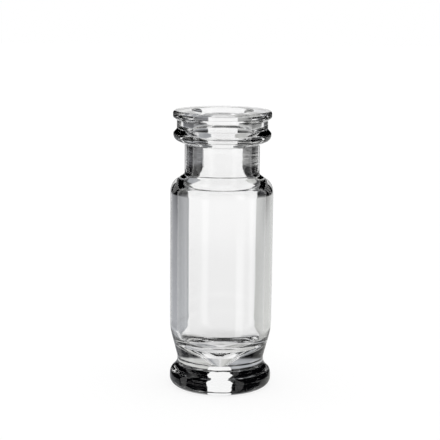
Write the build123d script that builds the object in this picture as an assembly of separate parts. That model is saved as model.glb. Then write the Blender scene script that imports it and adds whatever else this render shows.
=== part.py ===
from build123d import *
import math
import os

# Clear glass sample vial with a crimp and snap finish, a conical bore bottom and a solid pedestal foot.
# One piece of glass, turned about +Z. Origin: centre of the foot's underside. Millimetres, degrees.

# Outside. Heights are from the bench.
height = 32.0            # foot to lip
body_radius = 5.9        # the foot is as wide as the body, so the vial stands straight in a rack
foot_bottom_round = 0.87    # the foot rolls up from the bench on this radius
foot_top_round = 1.06
foot_corner_height = 1.65   # where the foot's side would meet its sloping top
foot_slope = 45.0        # the foot's top falls away from the vertical by this angle
flare_slope = 14.6       # the body draws in to the waist at this angle from the vertical
flare_top = 6.75         # where the flare would meet the body wall
flare_round = 6.3        # soft blend of flare into body
waist_round = 1.5

shoulder_drop = 8.25     # lip to where the body wall would meet the shoulder cone
shoulder_slope = 59.5    # from the vertical
shoulder_round = 1.88
neck_radius = 4.28
neck_root_round = 0.45

# Finish: a lower ring for the snap cap, a groove, and the flange that a crimp cap folds under.
# Drops are measured down from the lip.
ring_radius = 5.575
ring_root_drop = 3.8     # the ring's sloping underside leaves the neck here
ring_underside = 67.0    # from the vertical
ring_shoulder_drop = 2.53   # top of the ring's outer land
ring_bottom_round = 0.78
ring_top_round = 0.25
groove_radius = 5.18
groove_bottom_drop = 2.07
groove_top_drop = 1.08
groove_round = 0.2
flange_radius = 5.62
flange_bottom_drop = 0.75
flange_round = 0.24
lip_round = 0.32

# Inside
body_wall = 0.79
neck_wall = 0.9
inner_shoulder_drop = 9.0   # lip to where the body bore would meet the inner shoulder cone
inner_shoulder_slope = 50.0   # from the vertical
mouth_round = 0.28
inner_neck_round = 3.0
inner_shoulder_round = 1.1
inner_flare_round = 2.6  # the bore draws in with the flare, one wall inwards
bore_floor = 5.27        # the flared bore would meet the shallow cone here
bore_floor_round = 1.85
cone_break_radius = 1.7  # the shallow cone steepens into the well at this radius
cone_break_height = 3.95
cone_break_round = 0.4
well_bottom = 2.6        # lowest point of the well
well_tip_radius = 0.15   # small flat that the tip is rounded from
well_tip_round = 0.1


def cot(degrees):
    return 1 / math.tan(math.radians(degrees))


def rounding_reach(before, here, after):
    """How far along both of its sides a corner's rounding starts, for a radius of 1."""
    first = math.atan2(before[1] - here[1], before[0] - here[0])
    second = math.atan2(after[1] - here[1], after[0] - here[0])
    opening = abs((second - first + math.pi) % (2 * math.pi) - math.pi)
    return 1 / math.tan(opening / 2)


body_bore = body_radius - body_wall
neck_bore = neck_radius - neck_wall

# The waist is where the foot's sloping top and the flare would meet.
flare_run = math.tan(math.radians(flare_slope))
foot_run = math.tan(math.radians(foot_slope))
waist_height = (foot_run * foot_corner_height + flare_run * flare_top) / (foot_run + flare_run)
waist_radius = body_radius - flare_run * (flare_top - waist_height)

shoulder_height = height - shoulder_drop
shoulder_top = shoulder_height + (body_radius - neck_radius) * cot(shoulder_slope)
ring_root = height - ring_root_drop
ring_corner = ring_root + (ring_radius - neck_radius) * cot(ring_underside)

# The inner shoulder is a steeper cone than the outer. The inner flare runs parallel to the outer one.
inner_shoulder_low = height - inner_shoulder_drop
inner_shoulder_top = inner_shoulder_low + (body_bore - neck_bore) * cot(inner_shoulder_slope)
inner_flare_top = flare_top + body_wall * math.tan(math.radians(flare_slope / 2))
floor_radius = body_bore - flare_run * (inner_flare_top - bore_floor)

# Each corner of the section, from the foot's centre up the outside and down the bore to the well,
# with the radius that rounds it.
corners = [
    ((0, 0), 0),
    ((body_radius, 0), foot_bottom_round),
    ((body_radius, foot_corner_height), foot_top_round),
    ((waist_radius, waist_height), waist_round),
    ((body_radius, flare_top), flare_round),
    ((body_radius, shoulder_height), shoulder_round),
    ((neck_radius, shoulder_top), neck_root_round),
    ((neck_radius, ring_root), groove_round),
    ((ring_radius, ring_corner), ring_bottom_round),
    ((ring_radius, height - ring_shoulder_drop), ring_top_round),
    ((groove_radius, height - groove_bottom_drop), groove_round),
    ((groove_radius, height - groove_top_drop), groove_round),
    ((flange_radius, height - flange_bottom_drop), flange_round),
    ((flange_radius, height), lip_round),
    ((neck_bore, height), mouth_round),
    ((neck_bore, inner_shoulder_top), inner_neck_round),
    ((body_bore, inner_shoulder_low), inner_shoulder_round),
    ((body_bore, inner_flare_top), inner_flare_round),
    ((floor_radius, bore_floor), bore_floor_round),
    ((cone_break_radius, cone_break_height), cone_break_round),
    ((well_tip_radius, well_bottom), well_tip_round),
    ((0, well_bottom), 0),
]
points = [point for point, _ in corners]
radii = [radius for _, radius in corners]

# Two roundings on one side of the section never run into each other: both shrink to fit the side.
reach = [0] + [rounding_reach(*points[i - 1:i + 2]) for i in range(1, len(points) - 1)] + [0]
room = [
    math.dist(points[i], points[i + 1]) / max(reach[i] * radii[i] + reach[i + 1] * radii[i + 1], 1e-6)
    for i in range(len(points) - 1)
]
for i in range(1, len(points) - 1):
    radii[i] *= min(1, 0.98 * room[i - 1], 0.98 * room[i])

with BuildPart() as build:
    with BuildSketch(Plane.XZ) as section:
        with BuildLine():
            Polyline(*points, close=True)
        make_face()
        for (r, z), radius in zip(points, radii):
            if radius:
                fillet(section.vertices().sort_by_distance((r, z))[0], radius)
    revolve(axis=Axis.Z)

vial = build.part.solid()
vial.label = "vial"

os.makedirs("parts", exist_ok=True)
export_step(vial, "parts/vial.step")

box = vial.bounding_box()
print("size", [round(v, 3) for v in box.size], "volume mm3", round(vial.volume, 2), "valid", vial.is_valid)
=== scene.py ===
import math

import bmesh
import bpy
from mathutils import Euler, Matrix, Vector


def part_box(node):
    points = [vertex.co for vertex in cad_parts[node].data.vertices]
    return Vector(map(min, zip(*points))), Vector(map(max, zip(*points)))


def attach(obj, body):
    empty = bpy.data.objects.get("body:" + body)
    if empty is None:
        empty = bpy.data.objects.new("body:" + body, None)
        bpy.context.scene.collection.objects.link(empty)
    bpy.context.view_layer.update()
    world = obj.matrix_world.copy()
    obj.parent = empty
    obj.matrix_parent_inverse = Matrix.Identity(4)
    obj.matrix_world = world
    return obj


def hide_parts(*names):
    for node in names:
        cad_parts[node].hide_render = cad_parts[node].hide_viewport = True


MM = 0.001

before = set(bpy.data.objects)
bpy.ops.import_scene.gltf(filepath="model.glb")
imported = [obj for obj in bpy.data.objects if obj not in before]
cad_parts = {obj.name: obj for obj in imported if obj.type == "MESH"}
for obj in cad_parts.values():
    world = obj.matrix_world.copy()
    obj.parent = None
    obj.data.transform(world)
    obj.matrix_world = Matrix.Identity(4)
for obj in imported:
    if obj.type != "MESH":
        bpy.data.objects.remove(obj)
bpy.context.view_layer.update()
low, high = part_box("vial")

# Sizes in millimetres. Slopes are degrees from the vertical, and drops are measured down from the lip.
height = high[2] / MM
body_radius = min(high[0], high[1], -low[0], -low[1]) / MM
foot_bottom_round = 0.87
foot_top_round = 1.06
foot_corner_height = 1.65
foot_slope = 45.0
flare_slope = 14.6
flare_top = 6.75
flare_round = 6.3
waist_round = 1.5
shoulder_drop = 8.25
shoulder_slope = 59.5
shoulder_round = 1.88
neck_radius = 4.28
neck_root_round = 0.45

ring_radius = 5.575
ring_root_drop = 3.8
ring_underside = 67.0
ring_shoulder_drop = 2.53
ring_bottom_round = 0.78
ring_top_round = 0.25
groove_radius = 5.18
groove_bottom_drop = 2.07
groove_top_drop = 1.08
groove_round = 0.2
flange_radius = 5.62
flange_bottom_drop = 0.75
flange_round = 0.24
lip_round = 0.32

body_wall = 0.79
neck_wall = 0.9
inner_shoulder_drop = 9.0
inner_shoulder_slope = 50.0
mouth_round = 0.28
inner_neck_round = 3.0
inner_shoulder_round = 1.1
inner_flare_round = 2.6
bore_floor = 5.27
bore_floor_round = 1.85
cone_break_radius = 1.7
cone_break_height = 3.95
cone_break_round = 0.4
well_bottom = 2.6
well_tip_radius = 0.15
well_tip_round = 0.1

segments = 288           # round the axis, fine enough for clean refraction
arc_step = 5.0           # degrees of arc between two rings of the section


def cot(degrees):
    return 1 / math.tan(math.radians(degrees))


def section_corners():
    """Corners of the glass, each with its rounding: up the outside from the foot, then down the bore."""
    body_bore = body_radius - body_wall
    neck_bore = neck_radius - neck_wall
    flare_run = math.tan(math.radians(flare_slope))
    foot_run = math.tan(math.radians(foot_slope))
    waist_height = (foot_run * foot_corner_height + flare_run * flare_top) / (foot_run + flare_run)
    waist_radius = body_radius - flare_run * (flare_top - waist_height)
    shoulder_height = height - shoulder_drop
    shoulder_top = shoulder_height + (body_radius - neck_radius) * cot(shoulder_slope)
    ring_root = height - ring_root_drop
    ring_corner = ring_root + (ring_radius - neck_radius) * cot(ring_underside)
    inner_shoulder_low = height - inner_shoulder_drop
    inner_shoulder_top = inner_shoulder_low + (body_bore - neck_bore) * cot(inner_shoulder_slope)
    inner_flare_top = flare_top + body_wall * math.tan(math.radians(flare_slope / 2))
    floor_radius = body_bore - flare_run * (inner_flare_top - bore_floor)
    return [
        ((0, 0), 0),
        ((body_radius, 0), foot_bottom_round),
        ((body_radius, foot_corner_height), foot_top_round),
        ((waist_radius, waist_height), waist_round),
        ((body_radius, flare_top), flare_round),
        ((body_radius, shoulder_height), shoulder_round),
        ((neck_radius, shoulder_top), neck_root_round),
        ((neck_radius, ring_root), groove_round),
        ((ring_radius, ring_corner), ring_bottom_round),
        ((ring_radius, height - ring_shoulder_drop), ring_top_round),
        ((groove_radius, height - groove_bottom_drop), groove_round),
        ((groove_radius, height - groove_top_drop), groove_round),
        ((flange_radius, height - flange_bottom_drop), flange_round),
        ((flange_radius, height), lip_round),
        ((neck_bore, height), mouth_round),
        ((neck_bore, inner_shoulder_top), inner_neck_round),
        ((body_bore, inner_shoulder_low), inner_shoulder_round),
        ((body_bore, inner_flare_top), inner_flare_round),
        ((floor_radius, bore_floor), bore_floor_round),
        ((cone_break_radius, cone_break_height), cone_break_round),
        ((well_tip_radius, well_bottom), well_tip_round),
        ((0, well_bottom), 0),
    ]


def rounded(corners):
    """The section as points, with every corner turned into an arc."""
    points = [corners[0][0]]
    for (before, _), (here, radius), (after, _) in zip(corners, corners[1:], corners[2:]):
        a = math.atan2(before[1] - here[1], before[0] - here[0])
        b = math.atan2(after[1] - here[1], after[0] - here[0])
        opening = (b - a + math.pi) % (2 * math.pi) - math.pi
        half = abs(opening) / 2
        reach = radius / math.tan(half)
        middle = a + opening / 2
        centre = (here[0] + radius / math.sin(half) * math.cos(middle),
                  here[1] + radius / math.sin(half) * math.sin(middle))
        start = math.atan2(here[1] + reach * math.sin(a) - centre[1],
                           here[0] + reach * math.cos(a) - centre[0])
        turn = math.copysign(math.pi - 2 * half, -opening)
        steps = max(2, math.ceil(math.degrees(abs(turn)) / arc_step))
        for i in range(steps + 1):
            angle = start + turn * i / steps
            points.append((centre[0] + radius * math.cos(angle), centre[1] + radius * math.sin(angle)))
    points.append(corners[-1][0])
    return points


def turned(name, points):
    """A closed mesh of the section turned about Z, with one vertex at each end on the axis."""
    mesh = bpy.data.meshes.new(name)
    build = bmesh.new()
    rings = []
    for r, z in points[1:-1]:
        rings.append([build.verts.new((r * MM * math.cos(t), r * MM * math.sin(t), z * MM))
                      for t in (2 * math.pi * k / segments for k in range(segments))])
    bottom = build.verts.new((0, 0, points[0][1] * MM))
    well = build.verts.new((0, 0, points[-1][1] * MM))
    for k in range(segments):
        n = (k + 1) % segments
        build.faces.new((bottom, rings[0][n], rings[0][k]))
        for lower, upper in zip(rings, rings[1:]):
            build.faces.new((lower[k], lower[n], upper[n], upper[k]))
        build.faces.new((rings[-1][k], rings[-1][n], well))
    for face in build.faces:
        face.smooth = True
    build.to_mesh(mesh)
    build.free()
    piece = bpy.data.objects.new(name, mesh)
    bpy.context.scene.collection.objects.link(piece)
    return piece


def colour(code):
    """An sRGB hex code as a linear colour."""
    parts = [int(code[i:i + 2], 16) / 255 for i in (1, 3, 5)]
    return tuple(c / 12.92 if c <= 0.04045 else ((c + 0.055) / 1.055) ** 2.4 for c in parts) + (1.0,)


def add(tree, kind, settings=None, links=None):
    """Adds a node. Settings name its properties, input sockets or ramp stops; links feed its inputs."""
    node = tree.nodes.new(kind)
    for key, value in (settings or {}).items():
        if key == "stops":
            ramp = node.color_ramp.elements
            ramp[0].color, ramp[1].color = value[0][1], value[-1][1]
            for place, tone in value[1:-1]:
                ramp.new(place).color = tone
        elif isinstance(key, str) and hasattr(node, key):
            setattr(node, key, value)
        else:
            node.inputs[key].default_value = value
    for key, source in (links or {}).items():
        tree.links.new(source, node.inputs[key])
    return node


def empty_tree(owner):
    owner.use_nodes = True
    owner.node_tree.nodes.clear()
    return owner.node_tree


def borosilicate_glass():
    """Clear borosilicate glass, formed hot and fire polished: bright, sharp refraction, hardly any tint.

    The surface is not quite even. Draw lines run up the body, the forming rollers leave marks round the
    neck, and low waves run round the solid foot. The deepest is two hundredths of a millimetre, and they
    are seen only as small kinks and streaks in what shows through the glass.
    """
    material = bpy.data.materials.new("borosilicate_glass")
    tree = empty_tree(material)
    place = add(tree, "ShaderNodeTexCoord").outputs["Object"]
    up = add(tree, "ShaderNodeSeparateXYZ", links={0: place}).outputs["Z"]

    # Draw lines 0.5 mm apart and 15 mm long: fine upright streaks in the grey flanks of the body.
    # Every depth here is in millimetres.
    drawn = add(tree, "ShaderNodeMapping", {"Scale": (1 / (0.5 * MM), 1 / (0.5 * MM), 1 / (15 * MM))},
                {"Vector": place})
    lines = add(tree, "ShaderNodeTexNoise", {"Scale": 1.0, "Detail": 2.0}, {"Vector": drawn.outputs[0]})
    line_depth = add(tree, "ShaderNodeMath", {"operation": "MULTIPLY", 1: 0.0022},
                     {0: lines.outputs["Fac"]})

    # Roller marks 0.25 mm high and 2.5 mm long round the neck: broken level streaks, jagged dark edges.
    # On the finish they are fire polished nearly smooth.
    rolled = add(tree, "ShaderNodeMapping", {"Scale": (1 / (2.5 * MM), 1 / (2.5 * MM), 1 / (0.25 * MM))},
                 {"Vector": place})
    marks = add(tree, "ShaderNodeTexNoise", {"Scale": 1.0, "Detail": 3.0, "Roughness": 0.55},
                {"Vector": rolled.outputs[0]})
    polished = add(tree, "ShaderNodeMapRange",
                   {"interpolation_type": "SMOOTHSTEP", "From Min": 27.4 * MM, "From Max": 28.3 * MM,
                    "To Min": 0.012, "To Max": 0.0008}, {"Value": up})
    on_neck = add(tree, "ShaderNodeMapRange",
                  {"interpolation_type": "SMOOTHSTEP", "From Min": 24.0 * MM, "From Max": 25.2 * MM},
                  {"Value": up, "To Max": polished.outputs["Result"]})
    mark_depth = add(tree, "ShaderNodeMath", {"operation": "MULTIPLY"},
                     {0: marks.outputs["Fac"], 1: on_neck.outputs["Result"]})

    # Waves 1.6 mm long and 0.35 mm high round the foot: jagged edges and level glints in the thick glass.
    settled = add(tree, "ShaderNodeMapping", {"Scale": (1 / (1.6 * MM), 1 / (1.6 * MM), 1 / (0.35 * MM))},
                  {"Vector": place})
    waves = add(tree, "ShaderNodeTexNoise", {"Scale": 1.0, "Detail": 2.0}, {"Vector": settled.outputs[0]})
    in_foot = add(tree, "ShaderNodeMapRange",
                  {"interpolation_type": "SMOOTHSTEP", "From Min": 5.0 * MM, "From Max": 1.8 * MM,
                   "To Max": 0.02}, {"Value": up})
    with_waves = add(tree, "ShaderNodeMath", {"operation": "MULTIPLY_ADD"},
                     {0: waves.outputs["Fac"], 1: in_foot.outputs["Result"], 2: mark_depth.outputs[0]})

    depth = add(tree, "ShaderNodeMath", {"operation": "ADD"},
                {0: with_waves.outputs[0], 1: line_depth.outputs[0]})
    surface = add(tree, "ShaderNodeBump", {"Strength": 1.0, "Distance": MM}, {"Height": depth.outputs[0]})
    glass = add(tree, "ShaderNodeBsdfPrincipled", {
        "Base Color": colour("#fefefe"),
        "Roughness": 0.0,
        "IOR": 1.485,
        "Transmission Weight": 1.0,
    }, {"Normal": surface.outputs["Normal"]})
    add(tree, "ShaderNodeOutputMaterial", links={"Surface": glass.outputs["BSDF"]})
    return material


def studio_floor():
    """Matt white card: it looks white and takes the vial's soft shadow."""
    material = bpy.data.materials.new("white_card")
    tree = empty_tree(material)
    card = add(tree, "ShaderNodeBsdfDiffuse", {"Color": colour("#f4f4f4")})
    lift = add(tree, "ShaderNodeEmission", {"Color": colour("#ffffff"), "Strength": 1.06})

    # Three quarters of what the camera sees is even white, which keeps the shadow faint.
    rays = add(tree, "ShaderNodeLightPath")
    seen = add(tree, "ShaderNodeMath", {"operation": "MULTIPLY", 1: 0.75},
               {0: rays.outputs["Is Camera Ray"]})
    mix = add(tree, "ShaderNodeMixShader",
              links={0: seen.outputs[0], 1: card.outputs[0], 2: lift.outputs[0]})
    add(tree, "ShaderNodeOutputMaterial", links={"Surface": mix.outputs[0]})
    bpy.ops.mesh.primitive_plane_add(size=1.6, location=(0, 0, 0))
    floor = bpy.context.object
    floor.name = "floor"
    floor.data.materials.append(material)
    floor.visible_transmission = False
    floor.visible_glossy = False


def by_height(*stops):
    """Stops of a ramp that runs from straight down to straight up, given in degrees above the horizon."""
    return [(degrees / 180 + 0.5, colour(code)) for degrees, code in stops]


def studio_light():
    """What the glass shows: a bright upright panel behind it in a dark room, a pale table and a ceiling.

    Panels stand behind the vial as seen from the front, the right and the back left. One more lies on the
    table, for a view from above the front right. The camera itself sees plain white.
    """
    world = bpy.data.worlds.new("studio")
    bpy.context.scene.world = world
    tree = empty_tree(world)

    # Bearing in degrees round from straight behind the vial, right being plus, and level above the horizon.
    where = add(tree, "ShaderNodeTexCoord").outputs["Generated"]
    way = add(tree, "ShaderNodeSeparateXYZ", links={0: where})
    turn = add(tree, "ShaderNodeMath", {"operation": "ARCTAN2"},
               {0: way.outputs["X"], 1: way.outputs["Y"]})
    bearing = add(tree, "ShaderNodeMath", {"operation": "DEGREES"}, {0: turn.outputs[0]}).outputs[0]
    aside = add(tree, "ShaderNodeMath", {"operation": "ABSOLUTE"}, {0: bearing}).outputs[0]
    rise = add(tree, "ShaderNodeMath", {"operation": "ARCSINE"}, {0: way.outputs["Z"]})
    level = add(tree, "ShaderNodeMath", {"operation": "DEGREES"}, {0: rise.outputs[0]}).outputs[0]

    # The table's far edge sinks by up to 3 degrees to either side.
    near = add(tree, "ShaderNodeMath", {"operation": "MINIMUM", 1: 60.0}, {0: aside})
    sunk = add(tree, "ShaderNodeMath", {"operation": "MULTIPLY_ADD", 1: 3.0 / 60.0},
               {0: near.outputs[0], 2: level})
    place = add(tree, "ShaderNodeMath", {"operation": "MULTIPLY_ADD", 1: 1 / 180, 2: 0.5},
                {0: sunk.outputs[0]})
    left = add(tree, "ShaderNodeValToRGB", {"stops": by_height(
        (-90, "#dcdcdc"), (-50, "#c8c9ca"), (-28, "#9c9ea2"), (-16, "#b4b6ba"), (-8, "#98999c"),
        (-6, "#707174"), (-4, "#4a4a4c"), (-1, "#161617"), (3, "#030304"), (37, "#030304"),
        (43, "#6c6e70"), (50, "#dcdcdc"), (90, "#ffffff"))}, {0: place.outputs[0]})
    right = add(tree, "ShaderNodeValToRGB", {"stops": by_height(
        (-90, "#e2e2e2"), (-50, "#d0d0ce"), (-28, "#b8b8b6"), (-16, "#d6d7d4"), (-8, "#c8c9c8"),
        (-6, "#9a9a99"), (-4, "#626363"), (-1, "#161617"), (3, "#030304"), (37, "#030304"),
        (43, "#6c6e70"), (50, "#dcdcdc"), (90, "#ffffff"))}, {0: place.outputs[0]})

    # Behind the camera all is dark but the lit near edge of the table, a narrow bright band.
    back = add(tree, "ShaderNodeValToRGB", {"stops": by_height(
        (-90, "#181818"), (-45, "#101010"), (-11, "#101010"), (-8.5, "#606060"), (-6.8, "#d8d8d8"),
        (-4, "#ffffff"), (-2.5, "#202020"), (0, "#030303"), (60, "#030303"), (75, "#404040"),
        (90, "#a0a0a0"))}, {0: place.outputs[0]})
    panel = add(tree, "ShaderNodeValToRGB", {"stops": by_height(
        (-90, "#e0e0e0"), (-45, "#e4e4e4"), (-28, "#fafafa"), (-8, "#ffffff"), (42, "#ffffff"),
        (60, "#e8e8e8"), (90, "#ffffff"))}, {0: place.outputs[0]})

    to_right = add(tree, "ShaderNodeMapRange",
                   {"interpolation_type": "SMOOTHSTEP", "From Min": -8.0, "From Max": 8.0},
                   {"Value": bearing})
    to_back = add(tree, "ShaderNodeMapRange",
                  {"interpolation_type": "SMOOTHSTEP", "From Min": 70.0, "From Max": 84.0},
                  {"Value": aside})
    sides = add(tree, "ShaderNodeMix", {"data_type": "RGBA"},
                {0: to_right.outputs["Result"], 6: left.outputs[0], 7: right.outputs[0]})
    room = add(tree, "ShaderNodeMix", {"data_type": "RGBA"},
               {0: to_back.outputs["Result"], 6: sides.outputs[2], 7: back.outputs[0]})

    # Every panel is about 18 degrees wide and stands half a degree to the right of its bearing.
    moved = add(tree, "ShaderNodeMath", {"operation": "SUBTRACT", 1: 0.5}, {0: bearing})
    centred = add(tree, "ShaderNodeMath", {"operation": "WRAP", 1: 22.5, 2: -22.5}, {0: moved.outputs[0]})
    off_centre = add(tree, "ShaderNodeMath", {"operation": "ABSOLUTE"}, {0: centred.outputs[0]})
    inside = add(tree, "ShaderNodeMapRange",
                 {"interpolation_type": "SMOOTHSTEP", "From Min": 9.4, "From Max": 8.8},
                 {"Value": off_centre.outputs[0]})
    front, side, rear, table = [
        add(tree, "ShaderNodeMath", {"operation": "COMPARE", 1: stands_at, 2: 20.0}, {0: bearing})
        for stands_at in (0.0, -90.0, 135.0, -45.0)]

    # The one on the table shows only from 20 degrees down, and is less bright.
    on_table = add(tree, "ShaderNodeMapRange",
                   {"interpolation_type": "SMOOTHSTEP", "From Min": -19.0, "From Max": -22.0,
                    "To Max": 0.7}, {"Value": level})
    laid = add(tree, "ShaderNodeMath", {"operation": "MULTIPLY"},
               {0: table.outputs[0], 1: on_table.outputs[0]})
    upright = add(tree, "ShaderNodeMath", {"operation": "MAXIMUM"},
                  {0: front.outputs[0], 1: side.outputs[0]})
    others = add(tree, "ShaderNodeMath", {"operation": "MAXIMUM"},
                 {0: rear.outputs[0], 1: laid.outputs[0]})
    there = add(tree, "ShaderNodeMath", {"operation": "MAXIMUM"},
                {0: upright.outputs[0], 1: others.outputs[0]})
    on_panel = add(tree, "ShaderNodeMath", {"operation": "MULTIPLY"},
                   {0: inside.outputs[0], 1: there.outputs[0]})
    studio = add(tree, "ShaderNodeMix", {"data_type": "RGBA"},
                 {0: on_panel.outputs[0], 6: room.outputs[2], 7: panel.outputs[0]})

    rays = add(tree, "ShaderNodeLightPath")
    by_glass = add(tree, "ShaderNodeMath", {"operation": "MAXIMUM"},
                   {0: rays.outputs["Is Glossy Ray"], 1: rays.outputs["Is Transmission Ray"]})
    shown = add(tree, "ShaderNodeMix", {"data_type": "RGBA", 6: colour("#ffffff")},
                {0: by_glass.outputs[0], 7: studio.outputs[2]})
    light = add(tree, "ShaderNodeBackground", {"Strength": 1.0}, {"Color": shown.outputs[2]})
    add(tree, "ShaderNodeOutputWorld", links={"Surface": light.outputs[0]})


def camera():
    """A long lens about 150 mm away, a little above the vial and looking down on it."""
    look_down = math.radians(10.38)
    roll = math.radians(0.57)
    lens = bpy.data.cameras.new("camera")
    lens.sensor_width = 36.0
    lens.lens = 107.5
    lens.clip_start = 0.01
    eye = bpy.data.objects.new("camera", lens)
    bpy.context.scene.collection.objects.link(eye)
    turn = Euler((math.pi / 2 - look_down, 0, 0)).to_matrix() @ Matrix.Rotation(roll, 3, "Z")
    eye.matrix_world = Matrix.Translation((-0.00018, -0.14861, 0.04657)) @ turn.to_4x4()
    bpy.context.scene.camera = eye


bpy.context.scene.view_settings.view_transform = "Standard"
camera()
studio_light()
studio_floor()

vial = turned("vial_glass", rounded(section_corners()))
vial.data.materials.append(borosilicate_glass())
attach(vial, "root")
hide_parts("vial")
